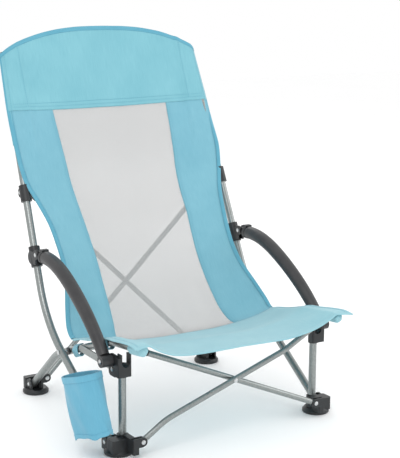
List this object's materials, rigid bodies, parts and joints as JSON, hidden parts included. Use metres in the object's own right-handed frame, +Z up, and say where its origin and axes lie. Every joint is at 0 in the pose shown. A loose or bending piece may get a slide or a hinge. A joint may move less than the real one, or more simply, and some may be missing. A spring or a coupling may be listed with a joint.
{
  "type": "folding camp chair",
  "caption": "Low folding camp chair: a sling seat and back on a scissor frame of bent tubes, with curved arms, round feet and a hanging cup holder.",
  "frame": {"origin": "on the floor under the middle of the open chair's overall box", "axes": "+Z up, the chair faces -Y, +X is the right-hand side of someone who looks at its front"},
  "size_m": [0.614, 0.6406, 0.79],
  "materials": {
    "grey_steel": "satin grey powder coat",
    "black_plastic": "fine-grained black moulding",
    "arm_plastic": "dark grey satin moulding",
    "rivet_steel": "bright zinc-plated",
    "sling_fabric": "woven polyester, light blue",
    "pouch_fabric": "woven polyester, blue"
  },
  "bodies": {
    "front_left": {"front_foot_left": "black_plastic", "front_foot_rivets_left": "rivet_steel", "front_post_left": "grey_steel", "front_hub_left": "black_plastic", "hub_rivets_left": "rivet_steel"},
    "cross_left": {"front_cross_tube_left": "grey_steel", "front_cross_end_left": "black_plastic", "front_cross_rivet": "rivet_steel"},
    "cross_right": {"front_cross_tube_right": "grey_steel", "front_cross_end_right": "black_plastic"},
    "front_right": {"front_foot_right": "black_plastic", "front_foot_rivets_right": "rivet_steel", "front_post_right": "grey_steel", "front_hub_right": "black_plastic", "hub_rivets_right": "rivet_steel"},
    "pole_left": {"pole_left": "grey_steel", "pole_cap_left": "black_plastic", "back_sleeve_left": "sling_fabric", "side_pivot_rivet_left": "rivet_steel", "side_pivot_spacer_left": "black_plastic", "cup_holder": "pouch_fabric", "cup_strap": "pouch_fabric"},
    "rail_left": {"side_rail_left": "grey_steel", "link_stud_left": "rivet_steel", "rail_loops_left": "sling_fabric", "rail_pocket_left": "sling_fabric"},
    "rear_foot_body_left": {"rear_foot_left": "black_plastic", "rear_foot_rivets_left": "rivet_steel"},
    "rear_cross_left": {"rear_cross_tube_left": "grey_steel", "rear_cross_end_left": "black_plastic"},
    "slider_left": {"pole_slider_left": "black_plastic", "pole_slider_rivets_left": "rivet_steel"},
    "collar_left": {"arm_collar_left": "black_plastic", "arm_collar_rivets_left": "rivet_steel"},
    "arm_body_left": {"arm_left": "arm_plastic", "arm_cap_left": "black_plastic"},
    "link_left": {"link_bar_left": "grey_steel"},
    "pole_right": {"pole_right": "grey_steel", "pole_cap_right": "black_plastic", "back_sleeve_right": "sling_fabric", "side_pivot_rivet_right": "rivet_steel", "side_pivot_spacer_right": "black_plastic"},
    "rail_right": {"side_rail_right": "grey_steel", "link_stud_right": "rivet_steel", "rail_loops_right": "sling_fabric", "rail_pocket_right": "sling_fabric"},
    "rear_foot_body_right": {"rear_foot_right": "black_plastic", "rear_foot_rivets_right": "rivet_steel"},
    "rear_cross_right": {"rear_cross_tube_right": "grey_steel", "rear_cross_end_right": "black_plastic"},
    "slider_right": {"pole_slider_right": "black_plastic", "pole_slider_rivets_right": "rivet_steel"},
    "collar_right": {"arm_collar_right": "black_plastic", "arm_collar_rivets_right": "rivet_steel"},
    "arm_body_right": {"arm_right": "arm_plastic", "arm_cap_right": "black_plastic"},
    "link_right": {"link_bar_right": "grey_steel"},
    "back_cloth": {"sling_back": "sling_fabric"},
    "seat_cloth": {"sling_seat": "sling_fabric"}
  },
  "joints": [
    {"name": "fold", "type": "hinge", "parent": "front_left", "child": "cross_left", "pos_m": [-0.182, -0.2786, 0.034], "axis": [0, -1, 0], "range_deg": [0, 58.5], "deforming": ["sling_back", "sling_seat", "cup_holder"]},
    {"name": "front_cross_pivot", "type": "hinge", "parent": "cross_left", "child": "cross_right", "pos_m": [0.032, -0.272, 0.1251], "axis": [0, -1, 0], "range_deg": [-117.01, 0]},
    {"name": "front_right_foot_pivot", "type": "hinge", "parent": "cross_right", "child": "front_right", "pos_m": [0.246, -0.2654, 0.034], "axis": [0, -1, 0], "range_deg": [0, 58.51]},
    {"name": "pole_fold_left", "type": "hinge", "parent": "front_left", "child": "pole_left", "pos_m": [-0.22, -0.215, 0.022], "axis": [1, 0, 0], "range_deg": [0, 41.21]},
    {"name": "rail_fold_left", "type": "hinge", "parent": "pole_left", "child": "rail_left", "pos_m": [-0.21, -0.012, 0.1526], "axis": [1, 0, 0], "range_deg": [-89.89, 0]},
    {"name": "rear_foot_pivot_left", "type": "hinge", "parent": "rail_left", "child": "rear_foot_body_left", "pos_m": [-0.2, 0.1885, 0.022], "axis": [1, 0, 0], "range_deg": [0, 56.7]},
    {"name": "rear_cross_fold_left", "type": "hinge", "parent": "rear_foot_body_left", "child": "rear_cross_left", "pos_m": [-0.174, 0.1794, 0.034], "axis": [0, -1, 0], "range_deg": [0, 38.88]},
    {"name": "slider_slide_left", "type": "slide", "parent": "pole_left", "child": "slider_left", "axis": [0.0339, 0.4062, 0.9132], "range_m": [0, 0.01192]},
    {"name": "collar_slide_left", "type": "slide", "parent": "pole_left", "child": "collar_left", "axis": [0.0339, 0.4062, 0.9132], "range_m": [0, 0.0748]},
    {"name": "arm_fold_left", "type": "hinge", "parent": "front_left", "child": "arm_body_left", "pos_m": [-0.23, -0.219, 0.19], "axis": [1, 0, 0], "range_deg": [0, 63.6]},
    {"name": "link_fold_left", "type": "hinge", "parent": "front_left", "child": "link_left", "pos_m": [-0.21, -0.222, 0.172], "axis": [1, 0, 0], "range_deg": [0, 69.38]},
    {"name": "pole_fold_right", "type": "hinge", "parent": "front_right", "child": "pole_right", "pos_m": [0.284, -0.215, 0.022], "axis": [1, 0, 0], "range_deg": [0, 41.21]},
    {"name": "rail_fold_right", "type": "hinge", "parent": "pole_right", "child": "rail_right", "pos_m": [0.274, -0.012, 0.1526], "axis": [1, 0, 0], "range_deg": [-89.89, 0]},
    {"name": "rear_foot_pivot_right", "type": "hinge", "parent": "rail_right", "child": "rear_foot_body_right", "pos_m": [0.264, 0.1885, 0.022], "axis": [1, 0, 0], "range_deg": [0, 56.7]},
    {"name": "rear_cross_fold_right", "type": "hinge", "parent": "rear_foot_body_right", "child": "rear_cross_right", "pos_m": [0.238, 0.1926, 0.034], "axis": [0, 1, 0], "range_deg": [0, 38.88]},
    {"name": "slider_slide_right", "type": "slide", "parent": "pole_right", "child": "slider_right", "axis": [-0.0339, 0.4062, 0.9132], "range_m": [0, 0.01192]},
    {"name": "collar_slide_right", "type": "slide", "parent": "pole_right", "child": "collar_right", "axis": [-0.0339, 0.4062, 0.9132], "range_m": [0, 0.0748]},
    {"name": "arm_fold_right", "type": "hinge", "parent": "front_right", "child": "arm_body_right", "pos_m": [0.294, -0.219, 0.19], "axis": [1, 0, 0], "range_deg": [0, 63.6]},
    {"name": "link_fold_right", "type": "hinge", "parent": "front_right", "child": "link_right", "pos_m": [0.274, -0.222, 0.172], "axis": [1, 0, 0], "range_deg": [0, 69.38]},
    {"name": "back_cloth_shift", "type": "slide", "parent": "pole_left", "child": "back_cloth", "axis": [-1, 0, 0], "range_m": [0, 0.18037]},
    {"name": "seat_cloth_fold", "type": "hinge", "parent": "back_cloth", "child": "seat_cloth", "pos_m": [0.032, -0.05, 0.185], "axis": [1, 0, 0], "range_deg": [-103.19, 0]}
  ],
  "couplings": [
    {"joint": "front_cross_pivot", "follows": "fold", "ratio": -2},
    {"joint": "front_right_foot_pivot", "follows": "fold", "ratio": 1},
    {"joint": "pole_fold_left", "follows": "fold", "ratio": 0.70424},
    {"joint": "rail_fold_left", "follows": "fold", "ratio": -1.5364},
    {"joint": "rear_foot_pivot_left", "follows": "fold", "ratio": 0.96914},
    {"joint": "rear_cross_fold_left", "follows": "fold", "ratio": 0.66443},
    {"joint": "slider_slide_left", "follows": "fold", "m_per_rad": 0.011667},
    {"joint": "collar_slide_left", "follows": "fold", "m_per_rad": 0.073247},
    {"joint": "arm_fold_left", "follows": "fold", "ratio": 1.0869},
    {"joint": "link_fold_left", "follows": "fold", "ratio": 1.1858},
    {"joint": "pole_fold_right", "follows": "fold", "ratio": 0.70424},
    {"joint": "rail_fold_right", "follows": "fold", "ratio": -1.5364},
    {"joint": "rear_foot_pivot_right", "follows": "fold", "ratio": 0.96914},
    {"joint": "rear_cross_fold_right", "follows": "fold", "ratio": 0.66443},
    {"joint": "slider_slide_right", "follows": "fold", "m_per_rad": 0.011667},
    {"joint": "collar_slide_right", "follows": "fold", "m_per_rad": 0.073247},
    {"joint": "arm_fold_right", "follows": "fold", "ratio": 1.0869},
    {"joint": "link_fold_right", "follows": "fold", "ratio": 1.1858},
    {"joint": "back_cloth_shift", "follows": "fold", "m_per_rad": 0.17665},
    {"joint": "seat_cloth_fold", "follows": "fold", "ratio": -1.7637}
  ]
}
